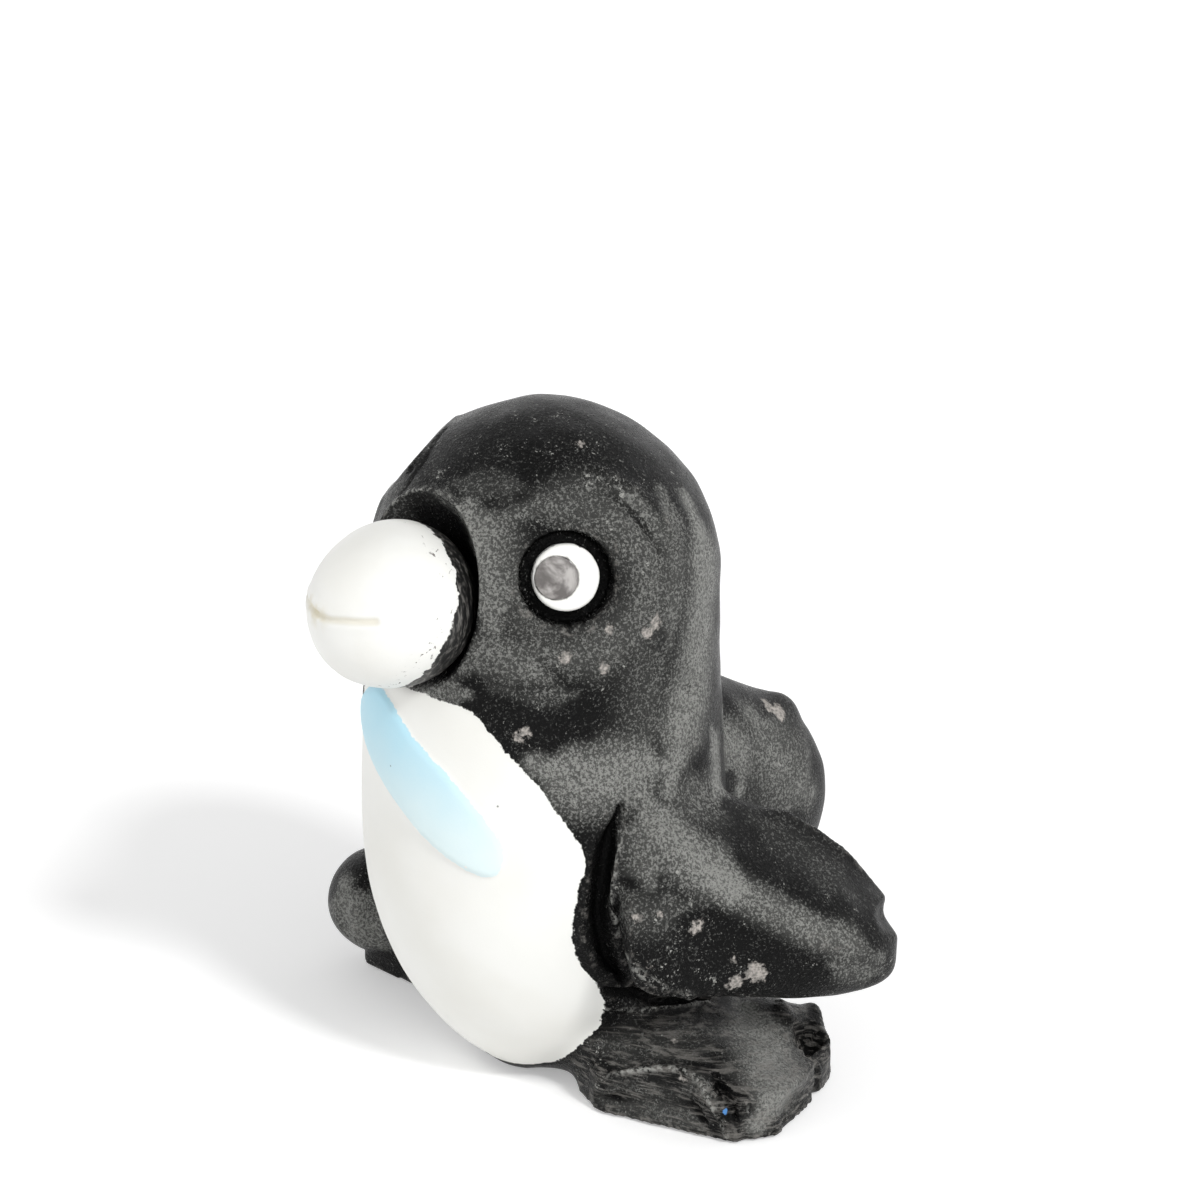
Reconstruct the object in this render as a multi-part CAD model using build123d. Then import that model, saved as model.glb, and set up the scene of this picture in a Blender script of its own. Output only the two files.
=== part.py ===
from build123d import *
from math import cos, radians, sin, sqrt
import os

# All sizes are in millimetres. The figure faces -Y, its left is +X, the ground is z = 0.

# Body lump
head_radius = 12.5
head_height = 37.8
trunk_radius = 13.2
trunk_height = 19.5
base_radius = 3.2
base_spread = 0.58
base_lift = 0.12
side_fall = 0.58

# White belly slab in front view, half its edge from top to bottom.
# Its points are shares of the trunk radius and of the slab's height.
belly_depth = 1.2
chin_gap = 0.55
belly_side_ratios = [
    (0.424, 0.967),
    (0.727, 0.8),
    (0.864, 0.626),
    (0.818, 0.426),
    (0.75, 0.193),
    (0.379, 0.026),
]
belly_bottom = 1.5

# Tie let into the belly, drawn round its edge in the same shares
tie_depth = 0.6
tie_relief = 0.3
tie_edge_ratios = [
    (-0.197, 0.964),
    (0.076, 0.885),
    (0.348, 0.803),
    (0.583, 0.679),
    (0.545, 0.584),
    (0.258, 0.63),
    (-0.053, 0.711),
    (-0.424, 0.813),
    (-0.53, 0.882),
    (-0.394, 0.941),
]

# Beak ball, and the dish it sits in, which is wider above the ball than below and beside it
beak_radius = 5.9
beak_stand = 1.3
beak_rise = 0.65
dish_rim = 6.5
dish_narrow = 0.84
dish_rise = 1.05
dish_seat = 0.35
mouth_drop = 0.0
mouth_width = 0.35
mouth_depth = 0.45
mouth_spread = 9.0

# Eyes, on the side of the head
eye_turn = 57.0
eye_lift = 15.8
socket_radius = 3.3
socket_depth = 1.2
eye_radius = 2.35
eye_sink = 0.1
eye_round = 0.35
pupil_radius = 1.5
pupil_shift = 0.7
pupil_depth = 0.6
pupil_relief = 0.08

# Wings: stations from nose to tip as (x, y, z, half height, half thickness, crest level),
# with x measured from the trunk's side, z from its widest level and the crest as a share of
# the half height. The outside falls away from the crest to a share of the thickness on both flanks.
wing_lean = 27.0
wing_turn = 24.0
wing_flank = 0.7
wing_stations = [
    (0.5, -4.8, -1.1, 6.5, 1.3, 0.4),
    (0.6, -3.6, -1.3, 7.3, 2.3, 0.45),
    (0.9, -0.8, -1.8, 7.7, 3.5, 0.42),
    (2.2, 3.8, -2.9, 7.5, 3.9, -0.16),
    (4.3, 8.0, -4.3, 6.8, 3.8, -0.42),
    (6.2, 11.5, -5.7, 5.4, 3.2, -0.5),
    (7.5, 13.9, -6.8, 3.7, 2.1, -0.4),
]
wing_tip = (8.1, 15.1, -7.3)
right_wing_swing = 12.0

# Feet: each outline is drawn on the ground as if for the left side, with x from the trunk's side
foot_wall = 3.1
foot_top_ratio = 0.42
foot_crest = (-9.2, 0.0)
foot_crest_ratio = 0.3
foot_corner = 1.5
left_foot_edge = [
    (-10.7, -1.0),
    (-2.8, -4.0),
    (7.7, -0.2),
    (8.8, 3.4),
    (6.4, 8.8),
    (4.4, 12.4),
    (0.8, 14.6),
    (-10.7, 7.0),
]
right_foot_edge = [
    (-10.7, 1.0),
    (-3.2, 0.5),
    (8.2, 0.1),
    (9.8, 2.6),
    (8.8, 7.8),
    (6.4, 12.4),
    (1.4, 15.0),
    (-10.7, 7.0),
]

# Toes swell out of the foot as balls, and dents part them: (x, y, z, radius) and (x, y).
# The right foot's front toe is a ball that stands off the ground.
left_toes = [(2.2, 4.5, -2.5, 6.8), (-0.8, 9.2, -0.6, 6.0)]
right_toes = [(6.6, 1.0, 5.5, 4.1), (0.4, 10.0, -0.6, 6.2)]
toe_cut_radius = 0.8
left_toe_cuts = [(8.4, 0.4), (6.4, 9.6)]
right_toe_cuts = [(4.0, -2.4), (6.4, -3.4), (8.0, 9.6)]

# Tail: stations from the back outwards as (y, z, half height, half width),
# with y measured from the trunk's back and z from its widest level
tail_stations = [
    (-7.2, -3.7, 9.2, 6.5),
    (1.8, -2.6, 9.2, 5.8),
    (6.0, -3.1, 8.2, 5.2),
    (10.0, -4.0, 6.9, 4.4),
    (12.6, -5.0, 4.6, 3.1),
]
tail_tip = (13.4, -5.4)

head_centre = Vector(0, 0, head_height)
beak_centre = head_centre + Vector(0, -head_radius - beak_stand, beak_rise)
belly_top = beak_centre.Z - beak_radius - chin_gap


def lump(inset):
    """Trunk and head turned as one shape, with every radius drawn in by the inset."""
    belly = trunk_radius - inset
    head = head_radius - inset
    foot = (base_radius - inset, 0)
    waist = (belly, trunk_height)
    cheek = (head, head_height)
    crown = (0, head_height + head)
    spread = (base_spread * belly, base_lift * trunk_height)
    side = Bezier(foot, spread, (belly, (1 - side_fall) * trunk_height), waist)
    taper = Spline(waist, cheek, tangents=[(0, 1), (0, 1)])
    dome = CenterArc((0, head_height), head, 0, 90)
    edges = [Line((0, 0), foot), side, taper, dome, Line(crown, (0, 0))]
    profile = Plane.XZ * make_face(edges)
    return revolve(profile, Axis.Z)


def front_prism(edge):
    """The solid in front of the body that a front-view outline covers."""
    return extrude(Plane.XZ * make_face(edge), amount=2 * trunk_radius)


def on_belly(across, up):
    """Front-view place of a point given in shares of the trunk radius and the slab's height."""
    return (across * trunk_radius, belly_bottom + up * (belly_top - belly_bottom))


def belly_recess():
    """All that lies in front of the slab's bed, inside its outline."""
    level = [(1, 0), (-1, 0)]
    points = [on_belly(*point) for point in belly_side_ratios]
    half = Spline(on_belly(0, 1), *points, on_belly(0, 0), tangents=level)
    return front_prism([half, mirror(half, about=Plane.YZ)]) - lump(belly_depth)


def tie_recess():
    """All that lies in front of the tie's bed, inside its outline."""
    points = [on_belly(*point) for point in tie_edge_ratios]
    return front_prism([Spline(*points, periodic=True)]) - lump(tie_depth)


def make_beak():
    """A ball with a mouth line scored round its front."""
    ball = Pos(beak_centre) * Sphere(beak_radius)
    line = Cylinder(2 * beak_radius, mouth_width) - Sphere(beak_radius - mouth_depth)
    front = Pos(0, -beak_radius, 0) * Box(mouth_spread, 2 * beak_radius, beak_radius)
    return ball - Pos(beak_centre - Vector(0, 0, mouth_drop)) * (line & front)


def eye_axis():
    """Plane at the head centre whose z axis looks out through the left eye."""
    flat = cos(radians(eye_lift))
    out = Vector(flat * sin(radians(eye_turn)), -flat * cos(radians(eye_turn)), sin(radians(eye_lift)))
    to_beak = Vector(-cos(radians(eye_turn)), -sin(radians(eye_turn)), 0)
    return Plane(origin=head_centre, x_dir=to_beak, z_dir=out)


def post(radius, bottom, shift=0):
    """A round post along the eye axis, from a distance off the head centre outwards."""
    upright = Align.CENTER, Align.CENTER, Align.MIN
    return eye_axis() * (Pos(shift, 0, bottom) * Cylinder(radius, head_radius, align=upright))


def make_pupil():
    face = Pos(head_centre) * Sphere(head_radius - eye_sink + pupil_relief)
    return post(pupil_radius, head_radius - eye_sink - pupil_depth, pupil_shift) & face


def make_eye(pupil):
    face = Pos(head_centre) * Sphere(head_radius - eye_sink)
    pellet = post(eye_radius, head_radius - socket_depth) & face
    rim = pellet.edges().sort_by_distance(head_centre)[-1]
    return fillet(rim, eye_round) - pupil


def make_dish():
    """The hollow pressed into the face behind the beak, tilted up, its floor just clear of the ball."""
    reach = (beak_centre - head_centre).length
    floor = reach - beak_radius + dish_seat
    rim_level = sqrt(head_radius**2 - dish_rim**2)
    stand = (head_radius**2 - floor**2) / (2 * (rim_level - floor))
    aim = Vector(0, beak_centre.Y, beak_rise + dish_rise).normalized()
    return Pos(head_centre + aim * stand) * scale(Sphere(stand - floor), by=(dish_narrow, 1, 1))


def make_body():
    sockets = post(socket_radius, head_radius - socket_depth)
    sockets = sockets + mirror(sockets, about=Plane.YZ)
    ball = Pos(beak_centre) * Sphere(beak_radius)
    return lump(0) - belly_recess() - ball - make_dish() - sockets


def wing_section(tall, thick, crest):
    """Outline across the wing: a crest on the outside with flatter flanks, and a rounded inside."""
    level = crest * tall
    outside = [(0, tall), (wing_flank * thick, (tall + level) / 2), (thick, level)]
    outside += [(wing_flank * thick, (level - tall) / 2), (0, -tall)]
    inside = [(-sqrt(0.75) * thick, -tall / 2), (-thick, 0), (-sqrt(0.75) * thick, tall / 2)]
    return make_face(Spline(*outside, *inside, periodic=True))


def make_wing():
    """A flap lofted from its nose along the flank to its tip, cut to sit on the body."""
    along = Vector(sin(radians(wing_turn)), cos(radians(wing_turn)), 0)
    across = Vector(cos(radians(wing_turn)), -sin(radians(wing_turn)), 0)
    slices = []
    for x, y, z, tall, thick, crest in wing_stations:
        place = Plane(origin=(x, y, z), x_dir=across, z_dir=-along)
        slices.append(place * Rot(0, 0, wing_lean) * wing_section(tall, thick, crest))
    flap = loft([*slices, Vertex(*wing_tip)])
    return Pos(trunk_radius, 0, trunk_height) * flap - lump(0)


def make_foot(edge, toes, cuts):
    """A pad with a mound on it, swollen toes and dents between them, cut to sit on the body."""
    outline = make_face(Polyline(*edge, close=True))
    outline = fillet(outline.vertices(), foot_corner)
    foot_top = foot_top_ratio * trunk_height
    pad = extrude(outline, amount=foot_wall)
    peak = Pos(*foot_crest, foot_top) * scale(outline, foot_crest_ratio)
    pad += loft([Pos(0, 0, foot_wall) * outline, peak], ruled=True)
    for x, y, z, radius in toes:
        pad += Pos(x, y, z) * Sphere(radius)
    for x, y in cuts:
        pad -= Pos(x, y, 0) * Cylinder(toe_cut_radius, 4 * foot_top)
    ground = Pos(0, 0, -foot_top) * Box(8 * trunk_radius, 8 * trunk_radius, 2 * foot_top)
    return Pos(trunk_radius, 0, 0) * (pad - ground) - lump(0)


def make_tail():
    slices = []
    for y, z, tall, wide in tail_stations:
        slices.append(Plane(origin=(0, y, z), x_dir=(1, 0, 0), z_dir=(0, 1, 0)) * Ellipse(wide, tall))
    wedge = loft([*slices, Vertex(0, *tail_tip)])
    return Pos(0, trunk_radius, trunk_height) * wedge - lump(0)


def main():
    slab = lump(0) & belly_recess()
    pupil = make_pupil()
    eye = make_eye(pupil)
    wing = make_wing()
    right_foot = make_foot(right_foot_edge, right_toes, right_toe_cuts)
    pieces = {
        "body": make_body(),
        "belly": slab - tie_recess(),
        "tie": lump(-tie_relief) & tie_recess(),
        "beak": make_beak(),
        "left_eye": eye,
        "right_eye": mirror(eye, about=Plane.YZ),
        "left_pupil": pupil,
        "right_pupil": mirror(pupil, about=Plane.YZ),
        "left_wing": wing,
        "right_wing": Rot(0, 0, -right_wing_swing) * mirror(wing, about=Plane.YZ),
        "left_foot": make_foot(left_foot_edge, left_toes, left_toe_cuts),
        "right_foot": mirror(right_foot, about=Plane.YZ),
        "tail": make_tail(),
    }
    os.makedirs("parts", exist_ok=True)
    for name, piece in pieces.items():
        export_step(piece, "parts/" + name + ".step")


main()
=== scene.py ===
from math import cos, radians, sin

import bmesh
import bpy
import numpy as np
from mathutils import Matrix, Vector, noise
from mathutils.bvhtree import BVHTree


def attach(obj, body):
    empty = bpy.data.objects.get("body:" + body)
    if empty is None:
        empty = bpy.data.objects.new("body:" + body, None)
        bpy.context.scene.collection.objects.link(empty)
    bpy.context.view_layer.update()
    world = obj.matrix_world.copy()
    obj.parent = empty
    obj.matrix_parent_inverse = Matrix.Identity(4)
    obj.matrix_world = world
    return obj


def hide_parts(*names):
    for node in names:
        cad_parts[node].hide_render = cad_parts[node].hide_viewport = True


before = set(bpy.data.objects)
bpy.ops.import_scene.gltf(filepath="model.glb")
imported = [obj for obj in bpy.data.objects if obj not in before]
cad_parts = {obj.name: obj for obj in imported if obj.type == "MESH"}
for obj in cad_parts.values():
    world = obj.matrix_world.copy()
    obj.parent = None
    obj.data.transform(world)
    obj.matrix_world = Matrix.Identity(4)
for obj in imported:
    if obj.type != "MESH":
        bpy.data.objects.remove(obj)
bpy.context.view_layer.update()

# Points are kept in millimetres while shapes are worked out, and in metres in the meshes.
MM = 0.001

# Camera, found by lining the solids up with the photograph
PHOTO_SIZE = 1200
FOCAL = 4620.0
AZIMUTH = 48.0
ELEVATION = 19.5
DISTANCE = 330.0
SIDE_SHIFT = 4.143
RISE = -2.286
SENSOR = 36.0

# Places on the figure, the same as in the solids
HEAD = np.array([0.0, 0.0, 37.8])
HEAD_RADIUS = 12.5
BEAK = np.array([0.0, -13.8, 38.45])
BEAK_RADIUS = 5.9
DISH_RIM = 6.5
DISH_NARROW = 0.84
DISH_RISE = 1.05
DISH_SEAT = 0.35
EYE_TURN = radians(57.0)
EYE_LIFT = radians(15.8)
WING_SWING = radians(12.0)

az, el = radians(AZIMUTH), radians(ELEVATION)
BACK = np.array([sin(az) * cos(el), -cos(az) * cos(el), sin(el)])
RIGHT = np.array([cos(az), sin(az), 0.0])
UP = np.cross(BACK, RIGHT)
EYE = HEAD + DISTANCE * BACK + SIDE_SHIFT * RIGHT + RISE * UP
FLIP = np.array([-1.0, 1.0, 1.0])


def add_camera():
    data = bpy.data.cameras.new("camera")
    data.sensor_width = SENSOR
    data.lens = SENSOR * FOCAL / PHOTO_SIZE
    data.clip_start = 0.01
    camera = bpy.data.objects.new("camera", data)
    camera.location = EYE * MM
    camera.rotation_euler = (radians(90 - ELEVATION), 0, az)
    bpy.context.scene.collection.objects.link(camera)
    bpy.context.scene.camera = camera


def ray(x, y):
    """Direction from the camera through a pixel of the photograph."""
    half = PHOTO_SIZE / 2
    aim = (x - half) / FOCAL * RIGHT - (y - half) / FOCAL * UP - BACK
    return aim / np.linalg.norm(aim)


# Mesh arrays
FAR = 1e9
TINY = 1e-9
# A stroke tapers over this share of its length at each end, to this share of its width
TAPER = 0.2
LEAST_TAPER = 0.35


def node_mesh(name):
    """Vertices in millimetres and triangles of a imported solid."""
    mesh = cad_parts[name].data
    points = np.empty(len(mesh.vertices) * 3, np.float32)
    mesh.vertices.foreach_get("co", points)
    mesh.calc_loop_triangles()
    corners = np.empty(len(mesh.loop_triangles) * 3, np.int32)
    mesh.loop_triangles.foreach_get("vertices", corners)
    return points.reshape(-1, 3) / MM, corners.reshape(-1, 3)


def ball(centre, radius, level):
    """Vertices and triangles of an even ball."""
    shape = bmesh.new()
    bmesh.ops.create_icosphere(shape, subdivisions=level, radius=radius)
    points = np.array([v.co[:] for v in shape.verts]) + centre
    triangles = np.array([[v.index for v in f.verts] for f in shape.faces])
    shape.free()
    return points, triangles


def remeshed(meshes, voxel):
    """Closed meshes as one even skin of quads."""
    points, triangles, count = [], [], 0
    for p, t in meshes:
        points.append(p)
        triangles.append(t + count)
        count += len(p)
    mesh = bpy.data.meshes.new("union")
    mesh.from_pydata(np.concatenate(points).tolist(), [], np.concatenate(triangles).tolist())
    shape = bpy.data.objects.new("union", mesh)
    bpy.context.scene.collection.objects.link(shape)
    skin = shape.modifiers.new("skin", "REMESH")
    skin.mode = "VOXEL"
    skin.voxel_size = voxel
    made = shape.evaluated_get(bpy.context.evaluated_depsgraph_get()).to_mesh()
    co = np.empty(len(made.vertices) * 3, np.float32)
    made.vertices.foreach_get("co", co)
    quads = np.array([p.vertices[:] for p in made.polygons], np.int64)
    bpy.data.objects.remove(shape)
    bpy.data.meshes.remove(mesh)
    return co.reshape(-1, 3).astype(float), quads


def directed(faces):
    """Every edge of the faces, in the faces' own sense."""
    count = faces.shape[1]
    sides = [np.stack([faces[:, k], faces[:, (k + 1) % count]], 1) for k in range(count)]
    return np.concatenate(sides)


def edges_of(faces):
    """Every edge of the faces once."""
    return np.unique(np.sort(directed(faces), 1), axis=0)


def neighbour_mean(values, edges):
    """Mean of each point's neighbours along the edges."""
    a, b = edges.T
    n = len(values)
    share = np.bincount(a, minlength=n) + np.bincount(b, minlength=n)
    flat = values.reshape(n, -1)
    sums = [np.bincount(a, c[b], n) + np.bincount(b, c[a], n) for c in flat.T]
    return (np.stack(sums, 1) / share[:, None]).reshape(values.shape)


def relax(co, edges, weight, rounds):
    """Draws each point towards the mean of its neighbours."""
    for _ in range(rounds):
        co = co + weight[:, None] * (neighbour_mean(co, edges) - co)
    return co


def even_out(co, edges, rounds):
    """Takes out voxel steps without shrinking the form: each round draws in, then lets out."""
    ones = np.ones(len(co))
    for _ in range(rounds):
        co = relax(co, edges, 0.5 * ones, 1)
        co = relax(co, edges, -0.52 * ones, 1)
    return co


def normals_of(co, faces):
    """Outward direction at each point of a mesh of triangles or of quads."""
    a, b, c = (co[faces[:, k]] for k in (0, 1, 2))
    if faces.shape[1] == 3:
        across = np.cross(b - a, c - a)
    else:
        across = np.cross(c - a, co[faces[:, 3]] - b)
    total = np.zeros_like(co)
    for k in range(faces.shape[1]):
        for i in range(3):
            total[:, i] += np.bincount(faces[:, k], across[:, i], len(co))
    return total / np.maximum(np.linalg.norm(total, axis=1), TINY)[:, None]


def step(value, low, high):
    """0 below low, 1 above high, smooth between."""
    t = np.clip((value - low) / (high - low), 0, 1)
    return t * t * (3 - 2 * t)


def bell(distance, width):
    """1 at no distance, falling smoothly to 0 at the width."""
    t = np.clip(1 - (distance / width) ** 2, 0, 1)
    return t * t


def distances(co, names):
    """Distance of each point from the nearest of the named solids."""
    least = np.full(len(co), FAR)
    for name in names:
        points, triangles = node_mesh(name)
        tree = BVHTree.FromPolygons(points.tolist(), triangles.tolist())
        found = np.array([tree.find_nearest(p)[3] for p in co.tolist()])
        least = np.minimum(least, found)
    return least


def nearest_on(co, line):
    """Distance of each point from a run of straight stretches, and how far along it, from 0 to 1."""
    lengths = np.linalg.norm(np.diff(line, axis=0), axis=1)
    starts = np.concatenate([[0.0], np.cumsum(lengths)])
    least = np.full(len(co), FAR)
    share = np.zeros(len(co))
    for a, b, length, start in zip(line[:-1], line[1:], lengths, starts):
        along = b - a
        t = np.clip((co - a) @ along / max(along @ along, TINY), 0, 1)
        distance = np.linalg.norm(co - a - t[:, None] * along, axis=1)
        nearer = distance < least
        least = np.where(nearer, distance, least)
        share = np.where(nearer, (start + t * length) / starts[-1], share)
    return least, share


def to_line(co, line):
    """Distance of each point from a run of straight stretches."""
    return nearest_on(co, line)[0]


def to_stroke(co, line):
    """The same distance, growing towards the run's two ends so that a mark tapers."""
    least, share = nearest_on(co, line)
    return least / np.clip(np.minimum(share, 1 - share) / TAPER, LEAST_TAPER, 1)


def lumps(co, size, seed):
    """Smooth noise of about -1 to 1 with lumps of a size in millimetres."""
    shift = Vector((seed * 17.3, seed * 5.1, seed * 9.7))
    return np.array([noise.noise(Vector(p) / size + shift) for p in co.tolist()])


def smooth_line(points, steps, closed):
    """A curve through the points."""
    p = np.array(points, float)
    n = len(p)
    made = []
    for i in range(n if closed else n - 1):
        if closed:
            a, b, c, d = p[(i - 1) % n], p[i], p[(i + 1) % n], p[(i + 2) % n]
        else:
            a, b, c, d = p[max(i - 1, 0)], p[i], p[i + 1], p[min(i + 2, n - 1)]
        for t in np.linspace(0, 1, steps, endpoint=False):
            bend = (2 * a - 5 * b + 4 * c - d) * t**2 + (3 * b - a - 3 * c + d) * t**3
            made.append(0.5 * (2 * b + (c - a) * t + bend))
    made.append(p[0] if closed else p[-1])
    return np.array(made)


def inside(x, z, outline):
    """True where a point of the front view lies in the outline."""
    odd = np.zeros(len(x), bool)
    for (x1, z1), (x2, z2) in zip(outline[:-1], outline[1:]):
        crosses = (z1 > z) != (z2 > z)
        rise = z2 - z1 if z2 != z1 else TINY
        odd ^= crosses & (x < (x2 - x1) * (z - z1) / rise + x1)
    return odd


# One skin over all the black and white clay
# A ball fills the sockets and the dish, which are worked in later.
VOXEL = 0.25
FILL_SINK = 0.02
BALL_LEVEL = 6
SKIN_ROUNDS = 6
TRUNK = ["body", "belly", "tie"]
LIMBS = ["left_wing", "right_wing", "left_foot", "right_foot", "tail"]
head_ball = ball(HEAD, HEAD_RADIUS - FILL_SINK, BALL_LEVEL)
co, quads = remeshed([node_mesh(n) for n in TRUNK + LIMBS] + [head_ball], VOXEL)
edges = edges_of(quads)
co = even_out(co, edges, SKIN_ROUNDS)

# The solid that each point belongs to, with smooth seams between them
OWNERS = ["trunk"] + LIMBS
SEAM_ROUNDS = 12
gap = {name: distances(co, [name]) for name in LIMBS}
gap["trunk"] = distances(co, TRUNK)
owner = np.argmin(np.stack([gap[n] for n in OWNERS]), 0)
for _ in range(SEAM_ROUNDS):
    held = [(owner == k).astype(float) for k in range(len(OWNERS))]
    owner = np.argmax(np.stack([neighbour_mean(h, edges) + 0.1 * h for h in held]), 0)

# Clay pressed over the joins: broad on the shoulders, tight elsewhere
JOINS = {"left_wing": 5.0, "right_wing": 5.0, "tail": 3.0, "left_foot": 2.5, "right_foot": 2.5}
SHOULDER_LOW, SHOULDER_HIGH = 16.0, 21.0
JOIN_ROUNDS = 90
PRESS = 0.9
weight = np.zeros(len(co))
for limb, reach in JOINS.items():
    near = np.clip(1 - np.maximum(gap["trunk"], gap[limb]) / reach, 0, 1)
    if limb.endswith("wing"):
        near = near * step(co[:, 2], SHOULDER_LOW, SHOULDER_HIGH)
    weight = np.maximum(weight, near)
co = relax(co, edges, PRESS * step(weight, 0, 0.6), JOIN_ROUNDS)

# Crease round the right foot's raised toe, filled with clay
CREASE_ROUNDS = 40
toe = (owner == OWNERS.index("right_foot")).astype(float)
for _ in range(CREASE_ROUNDS):
    normal = normals_of(co, quads)
    sunk = ((neighbour_mean(co, edges) - co) * normal).sum(1)
    co = co + (PRESS * toe * np.maximum(sunk, 0))[:, None] * normal

# The tie and the slab lie in one smooth face until their edges are laid in
FACE_ROUNDS = 40
front = step(-co[:, 1], 4.0, 6.0)
for foot in ("left_foot", "right_foot"):
    front = front * step(gap[foot], 0.5, 2)
front = front * (owner == 0) * step(co[:, 2], 3.0, 5.0)
co = relax(co, edges, PRESS * front, FACE_ROUNDS)
normal = normals_of(co, quads)

view_tree = BVHTree.FromPolygons(co.tolist(), quads.tolist())


def on_clay(pixels):
    """Where pixels of the photograph fall on the clay."""
    found = [view_tree.ray_cast(EYE.tolist(), ray(*p).tolist())[0] for p in pixels]
    return np.array([p[:] for p in found if p is not None])


def far_side(points, swing=0.0):
    """The same places on the other side of the figure."""
    x, y, z = (points * FLIP).T
    return np.stack([x * cos(swing) + y * sin(swing), y * cos(swing) - x * sin(swing), z], 1)


# Edge of the slab in pixels, with its two middle points, and the tie's edge in front view
BELLY_EDGE = [
    (410, 688), (440, 700), (470, 712), (500, 745), (540, 790), (570, 830), (585, 860), (578, 890),
    (572, 930), (578, 960), (600, 990), (603, 1015), (585, 1040), (550, 1062),
]
BELLY_TOP = (0.0, -12.3, 32.2)
BELLY_FOOT = (0.0, -4.6, 1.0)
TIE_EDGE = [
    (-2.6, 30.9), (1.0, 28.5), (4.6, 26.0), (7.7, 22.2), (7.2, 19.3),
    (3.4, 20.7), (-0.7, 23.2), (-5.6, 26.3), (-7.0, 28.4), (-5.2, 30.2),
]
half_edge = on_clay(BELLY_EDGE)
belly_loop = np.concatenate([[BELLY_TOP], half_edge, [BELLY_FOOT], (half_edge * FLIP)[::-1]])
belly_loop = smooth_line(belly_loop, 5, True)
is_front = co[:, 1] < 0
belly = to_line(co, belly_loop)
belly[inside(co[:, 0], co[:, 2], belly_loop[:, [0, 2]]) & is_front] *= -1
tie_flat = smooth_line(TIE_EDGE, 5, True)
BEFORE = -60
tie_loop = np.array([view_tree.ray_cast((x, BEFORE, z), (0, 1, 0))[0][:] for x, z in tie_flat])
tie = to_line(co, tie_loop)
tie[inside(co[:, 0], co[:, 2], tie_flat) & is_front] *= -1

# Strokes on the clay, in pixels of the photograph: (points, half width, height, paint, sides)
# Paint is plain, worn along the line, or black in it, where black is unworn paint darkened further as
# painted shade in the groove. Both and wing repeat the mark on the far side, and wing swings it back with
# that wing.
STROKES = [
    # brow over the eye
    ([(497, 490), (527, 476), (560, 470), (613, 477), (648, 503), (676, 545)], 1.5, 0.3, "plain", "both"),
    ([(490, 498), (520, 486), (560, 481), (607, 489), (638, 516), (660, 553)], 1.1, -0.35, "plain", "both"),
    # crease beside the crown's flat
    ([(400, 496), (410, 484), (428, 455), (449, 424)], 0.3, -0.15, "black", "one"),
    # worn rim of the dish behind the beak, its light line partly wear and partly a painted highlight on the
    # thin edge
    ([(432, 487), (446, 494), (460, 508), (468, 522), (476, 544), (483, 568)], 0.35, 0.1, "worn", "both"),
    # neck drawn in above the shoulder
    ([(520, 690), (600, 715), (690, 690)], 4.5, -0.35, "plain", "both"),
    ([(565, 790), (600, 800), (650, 795)], 3.0, 0.35, "plain", "both"),
    # front edge of the wing, the groove before it and the roll of clay beside the slab
    ([(624, 793), (622, 828), (620, 851), (618, 874), (614, 889), (614, 912), (618, 935), (627, 955),
      (641, 974), (660, 985), (687, 993), (710, 995)], 0.6, 0.3, "worn", "wing"),
    ([(619, 806), (611, 829), (604, 860), (601, 890), (600, 915), (603, 940), (610, 962), (624, 981)],
     1.0, -1.0, "black", "wing"),
    ([(589, 852), (583, 890), (582, 930), (590, 965)], 0.7, 0.2, "plain", "wing"),
    # gap under the wing and the worn line below it
    ([(606, 989), (622, 992), (649, 997), (676, 999), (705, 998)], 0.8, -0.9, "black", "wing"),
    ([(605, 1008), (649, 1010), (709, 1003)], 0.5, 0.3, "worn", "wing"),
    # crest of the wing
    ([(660, 830), (702, 878), (748, 908), (810, 939), (845, 946)], 2.0, 0.25, "plain", "wing"),
    # left foot: upper edge of its front, the face below it, cuts between the toes
    ([(572, 1081), (607, 1076), (632, 1073), (667, 1070), (686, 1073), (701, 1083), (712, 1101),
      (721, 1118), (727, 1136)], 0.6, 0.4, "worn", "one"),
    ([(600, 1098), (640, 1100), (685, 1104), (703, 1122)], 1.8, -0.55, "plain", "one"),
    ([(715, 1074), (722, 1087), (729, 1100), (737, 1120), (743, 1140)], 0.8, -0.8, "black", "one"),
    ([(742, 1092), (748, 1114), (756, 1140)], 0.6, 0.3, "worn", "one"),
    ([(812, 1028), (812, 1056)], 1.9, -1.1, "plain", "one"),
    ([(829, 1003), (831, 1040), (827, 1072)], 1.4, 0.5, "plain", "one"),
    ([(780, 1003), (790, 1026), (806, 1004)], 1.1, 0.35, "plain", "one"),
]
SWING = {"both": 0.0, "wing": WING_SWING}
WORN_WIDTH = 0.38
GROOVE_BLACK_AND_SHADE = 0.8


def stroke(points, half_width, height):
    """Push of the clay along a line, outwards or inwards."""
    distance = to_stroke(co, points)
    middle = points[len(points) // 2]
    toward = normal[np.argmin(np.linalg.norm(co - middle, axis=1))]
    facing = step(normal @ toward, -0.2, 0.3)
    return height * bell(distance, half_width) * facing


push = np.zeros(len(co))
ridge = np.zeros(len(co))
groove = np.zeros(len(co))
for pixels, half_width, height, paint, sides in STROKES:
    lines = [smooth_line(on_clay(pixels), 4, False)]
    if sides in SWING:
        lines.append(far_side(lines[0], SWING[sides]))
    for line in lines:
        push += stroke(line, half_width, height)
        if paint == "worn":
            ridge = np.maximum(ridge, bell(to_stroke(co, line), WORN_WIDTH))
        if paint == "black":
            within = bell(to_stroke(co, line), half_width)
            groove = np.maximum(groove, GROOVE_BLACK_AND_SHADE * step(within, 0.0, 0.7))

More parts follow.
